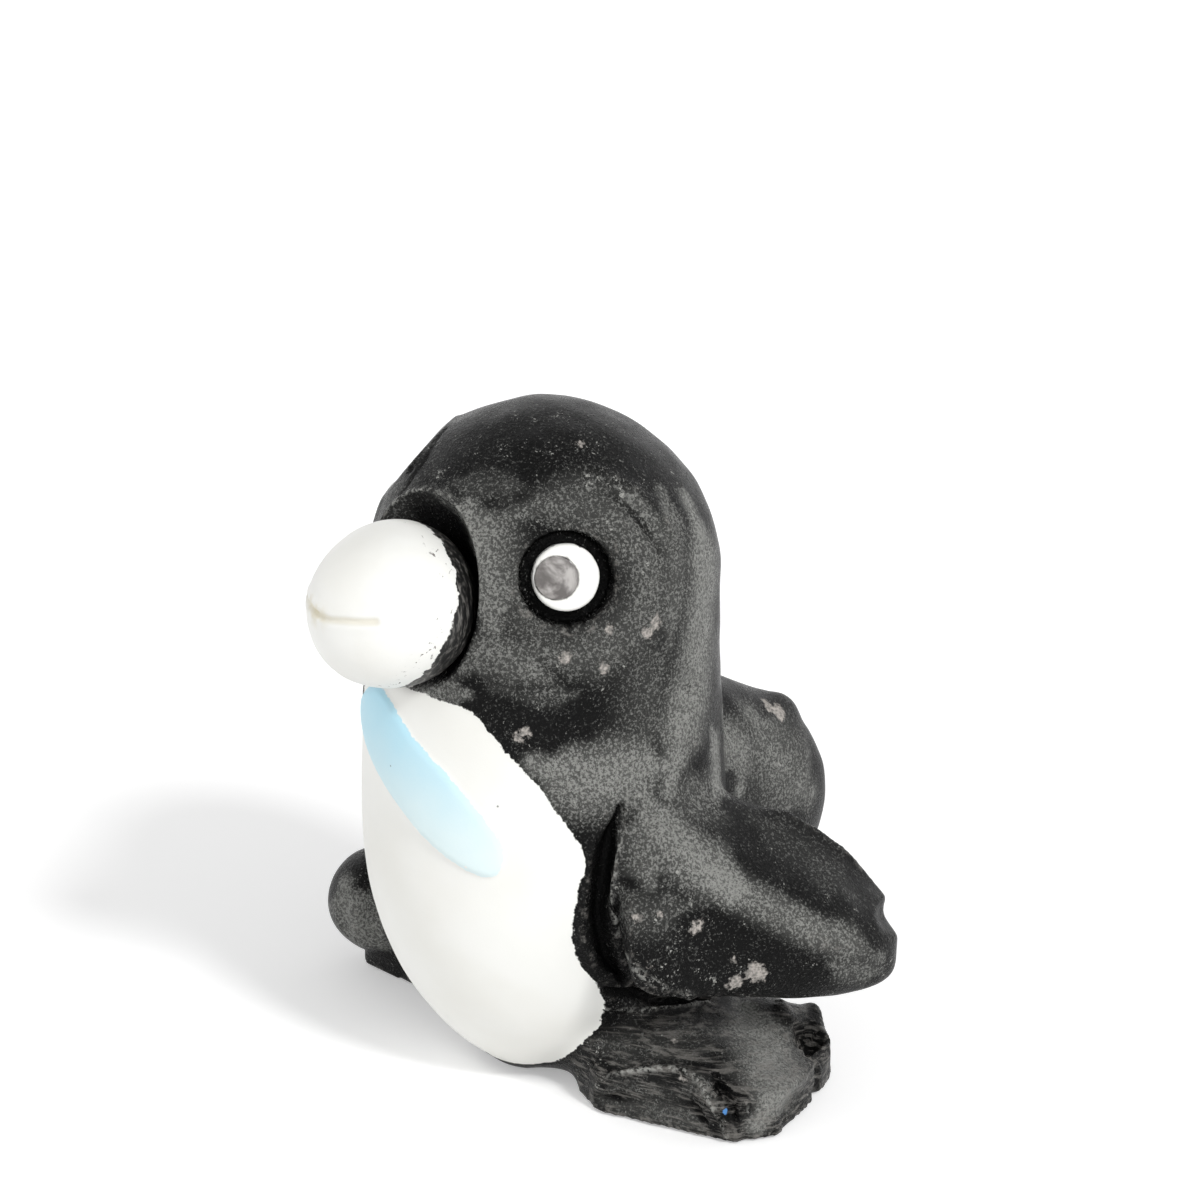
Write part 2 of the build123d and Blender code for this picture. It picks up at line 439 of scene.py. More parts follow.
# Slab edge, tie and hand-made unevenness
BLACK_PROUD = 0.12
TIE_PROUD = 0.24
BROAD_LUMPS, SMALL_LUMPS = 7.0, 2.4
push += BLACK_PROUD * step(belly, -0.1, 0.45)
push += TIE_PROUD * step(-tie, -0.15, 0.35)
black = step(belly, 0.0, 1.0)
push += (0.05 + 0.17 * black) * lumps(co, BROAD_LUMPS, 1) + (0.02 + 0.07 * black) * lumps(co, SMALL_LUMPS, 2)
co = co + push[:, None] * normal


# Eye sockets pressed with a tube
SOCKET_RADIUS = 3.4
SOCKET_SLOPE = 0.25
SOCKET_DEPTH = 1.2
SOCKET_LIP = 0.12


def socket(axis):
    """How far in the socket each point is, from 0 to 1, and how far it goes out along the axis."""
    local = co - HEAD
    up = local @ axis
    radius = np.linalg.norm(local - up[:, None] * axis, axis=1)
    near = step(up, 5.0, 7.0)
    share = (1 - step(radius, SOCKET_RADIUS - SOCKET_SLOPE, SOCKET_RADIUS)) * near
    raised = SOCKET_LIP * bell(radius - SOCKET_RADIUS - 0.4, 0.9) * near
    return share, raised - SOCKET_DEPTH * share


eye_axis = np.array([cos(EYE_LIFT) * sin(EYE_TURN), -cos(EYE_LIFT) * cos(EYE_TURN), sin(EYE_LIFT)])
beak_axis = (BEAK - HEAD) / np.linalg.norm(BEAK - HEAD)
for axis in (eye_axis, eye_axis * FLIP):
    share, outwards = socket(axis)
    co = co + outwards[:, None] * axis
    # The socket walls are kept unworn black and darkened as painted shade
    groove = np.maximum(groove, step(share, 0.02, 0.2))

# The dish behind the beak, with a thin lip round it and a dark seam next to the ball, kept unworn black and
# darkened as painted shade in the crevice
dish_floor = np.linalg.norm(BEAK - HEAD) - BEAK_RADIUS + DISH_SEAT
rim_level = (HEAD_RADIUS**2 - DISH_RIM**2) ** 0.5
dish_stand = (HEAD_RADIUS**2 - dish_floor**2) / (2 * (rim_level - dish_floor))
dish_aim = BEAK - HEAD + np.array([0.0, 0.0, DISH_RISE])
dish_middle = HEAD + dish_stand * dish_aim / np.linalg.norm(dish_aim)
dish_radius = dish_stand - dish_floor
from_dish = co - dish_middle
reach = np.linalg.norm(from_dish / (DISH_NARROW, 1.0, 1.0), axis=1)
RIM_SOFT, LIP = 0.25, 0.14
pushed = 0.5 * (reach + dish_radius + np.sqrt((reach - dish_radius) ** 2 + RIM_SOFT**2))
pushed = pushed - LIP * bell(reach - dish_radius - 0.3, 0.6)
facing_dish = step(-co[:, 1], 4.0, 6.0)
co = co + (facing_dish * (pushed / reach - 1))[:, None] * from_dish
seam = np.linalg.norm(co - BEAK, axis=1) - BEAK_RADIUS
dark_seam = (1 - step(seam, 0.45, 0.95)) * (reach < dish_radius + 0.3)
groove = np.maximum(groove, facing_dish * dark_seam)

# Flats of the crown, beside the face
FLAT_PIXEL = (417, 459)
FLAT_SHARE = 0.8
FLAT_AIM = -0.775 * RIGHT + 0.632 * UP
flat_place = EYE + DISTANCE * ray(*FLAT_PIXEL)
for aim, place in ((FLAT_AIM, flat_place), (FLAT_AIM * FLIP, flat_place * FLIP)):
    beyond = np.maximum((co - place) @ aim, 0)
    co = co - (FLAT_SHARE * beyond * step(co[:, 2], 42.0, 44.5))[:, None] * aim

# Outline of the limbs pinched or drawn out: (pixel, reach, to the right, upwards, limb)
DRAWN = [
    ((897, 914), 1.8, -0.85, -0.1, "left_wing"),
    ((872, 875), 3.0, -0.2, -0.25, "left_wing"),
    ((902, 945), 2.4, -0.3, 0.0, "left_wing"),
    ((824, 1000), 2.8, 0.15, 1.4, "left_foot"),
    ((806, 1118), 2.8, -0.9, 0.3, "left_foot"),
    ((794, 696), 2.2, 0.35, 0.35, "tail"),
    ((752, 675), 2.8, 0.0, -0.45, "tail"),
]
for pixel, size, rightwards, upwards, limb in DRAWN:
    of_limb = (owner == OWNERS.index(limb)).astype(float)
    of_limb = relax(of_limb[:, None], edges, np.ones(len(co)), 8)[:, 0]
    sight = ray(*pixel)
    off = np.linalg.norm(np.cross(co - EYE, sight), axis=1)
    co = co + (of_limb * bell(off, size))[:, None] * (rightwards * RIGHT + upwards * UP)

# Top of the head sunk a little, and soles flat on the ground
CROWN_SINK = 0.35
co[:, 2] -= CROWN_SINK * step(co[:, 2], 44.0, 50.0)
co[:, 2] = np.maximum(co[:, 2], 0)
co = even_out(co, edges, 1)
co[:, 2] = np.maximum(co[:, 2], 0)
normal = normals_of(co, quads)

# Chips in the paint: (x, y, size)
CHIPS = [
    (583, 443, 0.35), (565, 659, 0.45), (646, 632, 0.5), (654, 621, 0.55), (608, 628, 0.35), (603, 668, 0.4),
    (520, 737, 0.45), (526, 733, 0.3), (697, 927, 0.45), (755, 972, 0.8), (735, 981, 0.55), (731, 958, 0.32),
    (768, 706, 0.7), (778, 713, 0.7), (693, 745, 0.25), (686, 1076, 0.4), (655, 1069, 0.3), (605, 1077, 0.3),
    (650, 967, 0.22), (673, 1041, 0.22), (636, 918, 0.3), (658, 916, 0.25),
]
NO_CHIP = 9.0
chip = np.full(len(co), NO_CHIP)
for x, y, size in CHIPS:
    place = on_clay([(x, y)])[0]
    chip = np.minimum(chip, np.linalg.norm(co - place, axis=1) - size)

# A speck of blue paint on the near foot
SPECK_PIXEL = (725, 1112)
SPECK_SIZE = 0.22
speck_place = on_clay([SPECK_PIXEL])[0]
speck_place = co[np.argmin(np.linalg.norm(co - speck_place, axis=1))]
blue = np.linalg.norm(co - speck_place, axis=1) - SPECK_SIZE

# Dusty places: (x, y, reach)
DUSTY = [
    (560, 435, 9.1), (455, 465, 4.9), (515, 665, 4.9), (690, 950, 7.0), (600, 1050, 5.6), (640, 500, 5.6),
]
dust = np.zeros(len(co))
for x, y, size in DUSTY:
    place = on_clay([(x, y)])[0]
    for middle in (place, place * FLIP):
        dust = np.maximum(dust, bell(np.linalg.norm(co - middle, axis=1), size))

# Where the black is painted grey, partly as rubbing from handling and partly as painted sheen and
# highlights: (pixels, half width, amount)
RUBBED_AND_SHEEN = [
    ([(468, 508), (478, 535), (485, 570), (489, 600), (493, 625)], 3.3, 0.62),
    ([(505, 598), (528, 625), (562, 650)], 2.0, 0.4),
    ([(455, 482), (490, 487), (525, 488)], 1.8, 0.34),
    ([(462, 668), (490, 652), (515, 664), (545, 680)], 2.4, 0.5),
    ([(662, 490), (672, 545), (672, 600), (668, 645)], 2.2, 0.46),
    ([(505, 520), (545, 503), (600, 508), (642, 548), (652, 590), (628, 632), (575, 655), (520, 648)],
     3.0, 0.44),
    ([(425, 497), (440, 503), (455, 520), (465, 545)], 1.2, 0.55),
    ([(412, 684), (440, 690), (468, 694)], 1.5, 0.6),
    ([(612, 488), (640, 508), (660, 535), (672, 560)], 0.9, 0.5),
    ([(686, 500), (704, 575), (701, 610), (697, 660), (688, 710), (668, 790)], 3.2, 0.68),
    ([(722, 715), (735, 750), (738, 790)], 2.8, 0.66),
    ([(710, 730), (716, 765), (714, 800)], 1.6, 0.64),
    ([(492, 688), (530, 696), (575, 696)], 1.6, 0.34),
    ([(640, 640), (650, 700), (640, 760)], 3.5, 0.35),
    ([(535, 765), (580, 780), (620, 774), (665, 765)], 3.2, 0.7),
    ([(640, 795), (668, 834), (702, 862), (745, 888)], 2.6, 0.7),
    ([(702, 866), (727, 884), (747, 894)], 1.6, 1.0),
    ([(640, 815), (645, 850), (650, 885)], 2.2, 0.52),
    ([(622, 890), (645, 915), (690, 905)], 2.2, 0.36),
    ([(690, 858), (735, 890), (775, 910), (815, 931), (880, 958)], 1.7, 0.6),
    ([(830, 962), (858, 970), (880, 968)], 1.6, 0.45),
    ([(650, 790), (690, 800), (705, 780)], 3.2, 0.4),
    ([(755, 820), (800, 850), (850, 893)], 3.2, 0.24),
    ([(745, 1005), (765, 1050), (775, 1090), (757, 1125)], 3.2, 0.72),
    ([(600, 1045), (660, 1045), (740, 1030)], 3.0, 0.3),
    ([(600, 1098), (650, 1105), (700, 1125)], 2.2, 0.4),
    ([(345, 885), (350, 912), (385, 945)], 3.2, 0.68),
    ([(750, 715), (775, 760), (808, 795)], 4.5, 0.52),
]
# The far side gets less of the rubbing and painted sheen, and the grey fades out beyond the half width
FAR_RUB_AND_SHEEN = 0.5
RUB_AND_SHEEN_FADE = 1.6
rub_and_sheen = np.zeros(len(co))
for pixels, width, amount in RUBBED_AND_SHEEN:
    line = smooth_line(on_clay(pixels), 3, False)
    for side, share in ((line, 1.0), (line * FLIP, FAR_RUB_AND_SHEEN)):
        rub_and_sheen = np.maximum(rub_and_sheen, share * amount * bell(to_stroke(co, side), RUB_AND_SHEEN_FADE * width))

# Painted shade: flanks beside the grey places, darkened by taking the grey out: (pixels, half width)
SHADED_FLANKS = [
    ([(690, 930), (722, 938), (760, 952), (805, 966)], 1.5),
    ([(755, 858), (785, 880), (825, 905)], 1.2),
    ([(500, 708), (540, 724), (585, 728)], 1.2),
]
SHADED_FLANK_FADE = 1.3
for pixels, width in SHADED_FLANKS:
    line = smooth_line(on_clay(pixels), 3, False)
    for side in (line, line * FLIP):
        rub_and_sheen = rub_and_sheen * (1 - bell(to_line(co, side), SHADED_FLANK_FADE * width))

# Hollows are above 0 and proud edges below it. Brush streaks are on the near foot.
smoothed = relax(co, edges, np.ones(len(co)), 14)
hollow = ((smoothed - co) * normal).sum(1)
hollow = relax(hollow[:, None], edges, 0.6 * np.ones(len(co)), 4)[:, 0]
streak = (owner == OWNERS.index("left_foot")).astype(float)
streak = relax(streak[:, None], edges, 0.8 * np.ones(len(co)), 20)[:, 0]
# The tie is painted bluer at its top and paler downwards, partly its paint and partly painted shade under
# the beak
TIE_TOP, TIE_SHADE_REACH = 31.0, 11.0
FIELDS = {
    "belly": belly, "tie": tie, "chip": chip, "hollow": hollow, "ridge": ridge, "groove": groove,
    "streak": streak, "dust": dust, "rub_and_sheen": rub_and_sheen, "blue": blue,
    "tie_shade": step(TIE_TOP - co[:, 2], 0.0, TIE_SHADE_REACH),
}


# Closed pieces cut from the skin

# An open edge of more points than this is capped towards the figure's upright axis
LONG_LOOP = 30


def quads_where(vertex_mask):
    """Quads with at least three corners in the mask."""
    return vertex_mask[quads].sum(1) >= 3


def shared_border(mask, other):
    """Edges of the masked quads that the other quads share, in the masked quads' sense."""
    mine, theirs = directed(quads[mask]), directed(quads[other])
    n = len(co)
    return mine[np.isin(mine[:, 0] * n + mine[:, 1], theirs[:, 1] * n + theirs[:, 0])]


def cut_piece(name, node, keep, floor=None, back=None, cap_depth=1.0):
    """The kept quads, with a floor sunk under other quads, a back, and caps over what is still open."""
    places, shades, faces, source, start = [], [], [], [], 0

    def layer(mask, depth, flip):
        nonlocal start
        used = np.unique(quads[mask])
        index = np.full(len(co), -1)
        index[used] = np.arange(len(used)) + start
        places.append(co[used] - depth * normal[used])
        shades.append(-normal[used] if flip else normal[used])
        source.append(used)
        start += len(used)
        made = index[quads[mask]]
        faces.extend((made[:, ::-1] if flip else made).tolist())
        return index

    def wall(border, upper, lower):
        i, j = border.T
        faces.extend(np.stack([upper[j], upper[i], lower[i], lower[j]], 1).tolist())

    top = layer(keep, 0.0, False)
    whole = keep
    if floor:
        mask, depth = floor
        low = layer(mask, depth, False)
        wall(shared_border(keep, mask), top, low)
        whole = keep | mask
    if back:
        under = layer(whole, back, True)
        rim = shared_border(keep, ~whole)
        wall(rim, top, under)
    places, shades, source = (np.concatenate(a) for a in (places, shades, source))
    places, shades, faces, source = capped(places, shades, faces, source, cap_depth)
    fields = {key: values[source] for key, values in FIELDS.items()}
    return finish_piece(name, node, places, shades, faces, fields, PAINT)


def capped(places, shades, faces, source, depth):
    """Closes each open edge with a fan to a point inside."""
    count = len(places)
    runs = np.array([(f[k], f[(k + 1) % len(f)]) for f in faces for k in range(len(f))])
    lone = ~np.isin(runs[:, 0] * count + runs[:, 1], runs[:, 1] * count + runs[:, 0])
    onward = {}
    for i, j in runs[lone].tolist():
        onward.setdefault(i, []).append(j)
    new_places, new_shades, new_source = [], [], []
    while onward:
        first = next(iter(onward))
        loop = [first]
        while True:
            ends = onward[loop[-1]]
            following = ends.pop()
            if not ends:
                del onward[loop[-1]]
            if following == first:
                break
            loop.append(following)
        middle = places[loop].mean(0)
        inward = -shades[loop].mean(0)
        if len(loop) > LONG_LOOP:
            axis = np.array([0.0, 0.0, middle[2]]) - middle
            inward = axis / max(np.linalg.norm(axis), TINY)
        hub = count + len(new_places)
        new_places.append(middle + depth * inward)
        new_shades.append(-inward)
        new_source.append(source[loop[0]])
        faces.extend([(loop[(k + 1) % len(loop)], loop[k], hub) for k in range(len(loop))])
    if new_places:
        places = np.concatenate([places, new_places])
        shades = np.concatenate([shades, new_shades])
        source = np.concatenate([source, new_source])
    return places, shades, faces, source


def finish_piece(name, node, places, shades, faces, fields, material):
    """Makes the mesh of a piece, hangs it under the root and hides the solid that it stands for."""
    mesh = bpy.data.meshes.new(name)
    mesh.from_pydata((places * MM).tolist(), [], faces)
    for key, values in fields.items():
        mesh.attributes.new(key, "FLOAT", "POINT").data.foreach_set("value", values.astype(np.float32))
    mesh.shade_smooth()
    shades = shades / np.maximum(np.linalg.norm(shades, axis=1), TINY)[:, None]
    mesh.normals_split_custom_set_from_vertices(shades.tolist())
    mesh.materials.append(material)
    piece = bpy.data.objects.new(name, mesh)
    bpy.context.scene.collection.objects.link(piece)
    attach(piece, "root")
    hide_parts(node)
    return piece


# Materials


class Nodes:
    """Short ways to add shader nodes to a material."""

    def __init__(self, name):
        self.material = bpy.data.materials.new(name)
        self.material.use_nodes = True
        self.tree = self.material.node_tree
        self.shader = self.tree.nodes["Principled BSDF"]
        self.place = self.tree.nodes.new("ShaderNodeTexCoord").outputs["Object"]

    def set(self, socket, value):
        if isinstance(value, bpy.types.NodeSocket):
            self.tree.links.new(value, socket)
        else:
            socket.default_value = value

    def field(self, name):
        node = self.tree.nodes.new("ShaderNodeAttribute")
        node.attribute_name = name
        return node.outputs["Fac"]

    def noise(self, size, detail=2.0, rough=0.5, place=None, warp=0.0):
        """Noise whose lumps are about a size in millimetres."""
        node = self.tree.nodes.new("ShaderNodeTexNoise")
        self.set(node.inputs["Vector"], place or self.place)
        node.inputs["Scale"].default_value = 1 / (size * MM)
        node.inputs["Detail"].default_value = detail
        node.inputs["Roughness"].default_value = rough
        node.inputs["Distortion"].default_value = warp
        return node.outputs["Fac"]

    def cells(self, size):
        """Distance from scattered points, in cells, and a random number for each."""
        node = self.tree.nodes.new("ShaderNodeTexVoronoi")
        self.set(node.inputs["Vector"], self.place)
        node.inputs["Scale"].default_value = 1 / (size * MM)
        return node.outputs["Distance"], node.outputs["Color"]

    def math(self, kind, a, b=0.0):
        node = self.tree.nodes.new("ShaderNodeMath")
        node.operation = kind
        self.set(node.inputs[0], a)
        self.set(node.inputs[1], b)
        return node.outputs[0]

    def plus(self, a, b):
        return self.math("ADD", a, b)

    def times(self, a, b):
        return self.math("MULTIPLY", a, b)

    def rest(self, share):
        """What a share leaves of 1."""
        return self.math("SUBTRACT", 1.0, share)

    def centred(self, value):
        """A value of 0 to 1 as -0.5 to 0.5."""
        return self.math("SUBTRACT", value, 0.5)

    def ramp(self, value, low, high):
        """0 at low and 1 at high, smooth between."""
        node = self.tree.nodes.new("ShaderNodeMapRange")
        node.interpolation_type = "SMOOTHSTEP"
        self.set(node.inputs["Value"], value)
        node.inputs["From Min"].default_value = low
        node.inputs["From Max"].default_value = high
        return node.outputs["Result"]

    def fall(self, value, low, high):
        """1 at low and 0 at high, smooth between."""
        return self.rest(self.ramp(value, low, high))

    def scaled(self, value, low, high):
        """A value of 0 to 1 spread from low to high."""
        node = self.tree.nodes.new("ShaderNodeMapRange")
        self.set(node.inputs["Value"], value)
        node.inputs["To Min"].default_value = low
        node.inputs["To Max"].default_value = high
        return node.outputs["Result"]

    def mix(self, share, a, b):
        node = self.tree.nodes.new("ShaderNodeMix")
        node.data_type = "RGBA"
        self.set(node.inputs[0], share)
        self.set(node.inputs[6], (*a, 1) if isinstance(a, tuple) else a)
        self.set(node.inputs[7], (*b, 1) if isinstance(b, tuple) else b)
        return node.outputs[2]

    def stretched(self, scale, turn):
        """Places that draw a texture out along turned axes."""
        node = self.tree.nodes.new("ShaderNodeMapping")
        node.vector_type = "TEXTURE"
        self.set(node.inputs["Vector"], self.place)
        node.inputs["Scale"].default_value = scale
        node.inputs["Rotation"].default_value = turn
        return node.outputs["Vector"]

    def bump(self, height, depth, strength=1.0, under=None):
        node = self.tree.nodes.new("ShaderNodeBump")
        self.set(node.inputs["Height"], height)
        node.inputs["Distance"].default_value = depth * MM
        self.set(node.inputs["Strength"], strength)
        if under:
            self.set(node.inputs["Normal"], under)
        return node.outputs["Normal"]


# Linear colours
BLACK = (0.0055, 0.0055, 0.0055)
# Black paint darkened further as painted shade, in grooves, hollows and round the eyes
SHADED_PIT_BLACK = (0.0015, 0.0015, 0.0015)
GREY = (0.26, 0.262, 0.247)
DUST = (0.085, 0.086, 0.082)
SPECK = (0.33, 0.33, 0.31)
# Worn grey, also the painted sheen on the beak's black rear
WORN_AND_SHEEN = (0.22, 0.21, 0.195)
BARE = (0.46, 0.425, 0.395)
WHITE = (0.86, 0.86, 0.83)
CREAM = (0.83, 0.825, 0.785)
SHADED_SKY = (0.47, 0.74, 0.86)
PALE_SKY = (0.74, 0.86, 0.87)
BLUE = (0.1, 0.27, 0.6)
PUPIL_DARK = (0.11, 0.10, 0.095)
PUPIL_PALE = (0.42, 0.40, 0.385)
STAIN = (0.62, 0.55, 0.36)
SMUDGE = (0.05, 0.03, 0.02)
# Sizes of grain in the black paint, and how much each thing counts towards a light grain
COARSE_GRAIN, TINY_GRAIN = 0.22, 0.12
COARSE_SHARE, TINY_SHARE = 5.0, 2.8
RUB_AND_SHEEN_SHARE, CLOUD_SHARE, DUST_SHARE, SUNK_SHARE = 1.2, 0.9, 0.06, 0.5
# Grain height above which paint without any rubbing or painted sheen is light
LEAST_RUB_AND_SHEEN = 0.8
# Flecks of dust: (size, least height of the noise)
FLECKS = [(0.26, 0.67), (0.6, 0.70)]
CLAY_GLOSS = 0.06


def painted_clay():
    n = Nodes("painted_clay")
    ragged = n.centred(n.noise(0.9, 4.0, 0.62))
    fine = n.centred(n.noise(0.3, 3.0, 0.6))

    def edge(field, sway, soft):
        """1 outside a painted edge, 0 inside it."""
        line = n.plus(field, n.times(ragged, sway))
        return n.ramp(n.plus(line, n.times(fine, sway * 0.5)), -soft, soft)

    def dots(size, inner, outer, least):
        """Small round dots at some of a set of scattered points."""
        distance, chance = n.cells(size)
        return n.times(n.fall(distance, inner, outer), n.ramp(chance, least, least + 0.04))

    black_share = edge(n.field("belly"), 0.7, 0.05)
    tie_share = n.rest(edge(n.field("tie"), 0.45, 0.05))
    # black paint whose grains are light where handling rubbed them and where sheen is painted on, and bare
    # black where it is sunk, darkened there as painted shade
    coarse = n.noise(COARSE_GRAIN, 3.0, 0.65)
    tiny = n.noise(TINY_GRAIN, 2.0, 0.6)
    grain = n.plus(n.times(n.centred(coarse), COARSE_SHARE), n.times(n.centred(tiny), TINY_SHARE))
    grain = n.times(grain, n.scaled(n.field("streak"), 1.0, 0.6))
    cloud = n.centred(n.noise(2.2, 4.0, 0.62))
    level = n.plus(n.times(n.field("rub_and_sheen"), RUB_AND_SHEEN_SHARE), n.times(cloud, CLOUD_SHARE))
    level = n.plus(level, n.times(n.field("dust"), DUST_SHARE))
    # painted shade: grooves, socket walls and hollows darkened past the black paint, and left unrubbed
    sunk = n.math("MAXIMUM", n.field("groove"), n.ramp(n.field("hollow"), 0.03, 0.16))
    level = n.math("SUBTRACT", level, n.times(sunk, SUNK_SHARE))
    rubbed_and_sheen = n.ramp(n.plus(grain, level), LEAST_RUB_AND_SHEEN - 0.5, LEAST_RUB_AND_SHEEN + 0.55)
    light = n.mix(n.ramp(n.field("rub_and_sheen"), 0.0, 0.7), DUST, GREY)
    ground = n.mix(n.times(n.ramp(n.field("rub_and_sheen"), 0.05, 0.9), 0.4), BLACK, GREY)
    colour = n.mix(rubbed_and_sheen, n.mix(sunk, ground, SHADED_PIT_BLACK), light)
    # brush streaks
    strokes = n.noise(0.25, 3.0, 0.65, n.stretched((14.0, 4.0, 1.0), (0.0, 0.05, az)))
    strokes = n.times(n.ramp(strokes, 0.47, 0.66), n.field("streak"))
    colour = n.mix(n.times(strokes, 0.55), colour, WORN_AND_SHEEN)
    # flecks of dust, crowded in some places
    crowd = n.plus(n.times(cloud, 0.35), n.times(n.field("dust"), 0.03))
    for size, least in FLECKS:
        fleck = n.ramp(n.plus(n.noise(size, 3.0, 0.7), crowd), least, least + 0.06)
        colour = n.mix(n.times(fleck, n.rest(sunk)), colour, SPECK)
    # wear along proud edges and ridges
    proud = n.times(n.ramp(n.field("hollow"), -0.06, -0.2), 0.8)
    worn = n.times(proud, n.ramp(n.noise(0.7, 4.0, 0.65), 0.5, 0.66))
    colour = n.mix(n.times(worn, 0.75), colour, WORN_AND_SHEEN)
    # light along the worn strokes, on the dish rim partly a painted highlight
    worn = n.times(n.field("ridge"), n.ramp(n.noise(0.4, 4.0, 0.65), 0.47, 0.58))
    colour = n.mix(worn, colour, SPECK)
    # chips down to the clay, and the blue speck
    flake = n.plus(n.field("chip"), n.times(ragged, 1.4))
    flake = n.fall(n.plus(flake, n.times(fine, 0.9)), -0.16, 0.12)
    bare = n.mix(n.ramp(n.noise(0.22, 2.0), 0.35, 0.65), BARE, WORN_AND_SHEEN)
    colour = n.mix(flake, colour, bare)
    drop = n.plus(n.field("blue"), n.times(ragged, 0.9))
    colour = n.mix(n.fall(drop, -0.05, 0.06), colour, BLUE)
    # white slab and light blue tie
    pale = n.mix(n.ramp(n.noise(9.0, 3.0), 0.4, 0.7), WHITE, CREAM)
    # painted shade: the tie bluer and darker towards its top, under the beak
    tie_shade = n.plus(n.field("tie_shade"), n.times(n.centred(n.noise(2.5, 4.0)), 0.35))
    sky = n.mix(dots(1.7, 0.05, 0.11, 0.62), n.mix(tie_shade, SHADED_SKY, PALE_SKY), WHITE)
    pale = n.mix(tie_share, pale, sky)
    pale = n.mix(n.times(dots(2.6, 0.025, 0.05, 0.6), 0.8), pale, BLACK)
    n.set(n.shader.inputs["Base Color"], n.mix(black_share, pale, colour))
    # finish
    rough = n.scaled(n.noise(1.6, 3.0), 0.2, 0.34)
    rough = n.plus(rough, n.times(rubbed_and_sheen, 0.08))
    rough = n.plus(rough, n.times(n.rest(black_share), 0.12))
    rough = n.math("MAXIMUM", rough, n.times(flake, 0.85))
    n.set(n.shader.inputs["Roughness"], rough)
    n.set(n.shader.inputs["Specular IOR Level"], CLAY_GLOSS)
    relief = n.scaled(black_share, 0.06, 1.0)
    normal_out = n.bump(n.noise(1.1, 3.0, 0.55), 0.09, relief)
    normal_out = n.bump(coarse, 0.16, relief, normal_out)
    normal_out = n.bump(tiny, 0.06, relief, normal_out)
    normal_out = n.bump(n.rest(flake), 0.04, 1.0, normal_out)
    n.set(n.shader.inputs["Normal"], normal_out)
    return n.material


PAINT = painted_clay()

in_belly = quads_where(belly < 0) & (owner[quads[:, 0]] == 0)
in_tie = quads_where(tie < 0) & (owner[quads[:, 0]] == 0)
slab = in_belly & ~in_tie
limb_of = np.array([np.bincount(o, minlength=len(OWNERS)).argmax() for o in owner[quads]])
limb_of[in_belly | in_tie] = -1
SLAB_DEPTH = 1.2
TIE_DEPTH = 0.6
SEAM = 0.04

CAP_DEPTH = 2.5
body_floor = (slab | in_tie, SLAB_DEPTH + SEAM)
cut_piece("body_lump", "body", limb_of == 0, body_floor, None, CAP_DEPTH)
cut_piece("belly_slab", "belly", slab, (in_tie, TIE_DEPTH + SEAM), SLAB_DEPTH)
cut_piece("tie_strip", "tie", in_tie, None, TIE_DEPTH)
for k, limb in enumerate(LIMBS, 1):
    cut_piece(limb + "_clay", limb, limb_of == k)


# Beak ball

# Swellings: (to the right, upwards, spread in degrees, height)
BEAK_BULGES = [(-0.77, -0.64, 40.0, 0.35), (-0.65, 0.76, 35.0, -0.25)]
MOUTH = [(331, 620), (345, 621), (360, 622), (376, 622)]
MOUTH_DEPTH, MOUTH_LIP = 0.2, 0.06
# Edge of the white paint: (degrees round the ball from its side, degrees back from its front)
WHITE_EDGE = [(-90, 78), (-39, 82), (-19, 87), (2, 95), (21, 103), (43, 107), (90, 109)]
beak_points, beak_faces = ball(np.zeros(3), 1.0, BALL_LEVEL)


def make_beak():
    """A hand-rolled ball, full at the chin, with a mouth line drawn in it and its rear painted black."""
    aim = beak_points
    size = np.full(len(aim), BEAK_RADIUS)
    for right, up, width, amount in BEAK_BULGES:
        toward = right * RIGHT + up * UP
        angle = np.degrees(np.arccos(np.clip(aim @ (toward / np.linalg.norm(toward)), -1, 1)))
        size += amount * np.exp(-((angle / width) ** 2))
    places = aim * size[:, None] + BEAK
    tree = BVHTree.FromPolygons(places.tolist(), beak_faces.tolist())
    near = np.array([tree.ray_cast(EYE.tolist(), ray(*p).tolist())[0][:] for p in MOUTH])
    line = np.concatenate([(near * FLIP)[::-1], near])
    to_mouth = to_line(places, smooth_line(line, 4, False))
    size = size - MOUTH_DEPTH * bell(to_mouth, 0.3) + MOUTH_LIP * bell(to_mouth - 0.5, 0.5)
    size += 0.05 * lumps(aim * BEAK_RADIUS, 3.0, 3) + 0.015 * lumps(aim * BEAK_RADIUS, 0.9, 4)
    places = aim * size[:, None] + BEAK
    lean = np.degrees(np.arccos(np.clip(aim @ beak_axis, -1, 1)))
    top = np.cross((-1.0, 0.0, 0.0), beak_axis)
    turn = np.degrees(np.arctan2(aim @ top, np.abs(aim[:, 0])))
    rear = (lean - np.interp(turn, *np.array(WHITE_EDGE, float).T)) * radians(1) * BEAK_RADIUS
    fields = {"rear": rear, "mouth": to_mouth, "across": places[:, 0]}
    shades = normals_of(places, beak_faces)
    finish_piece("beak_ball", "beak", places, shades, beak_faces.tolist(), fields, beak_paint())


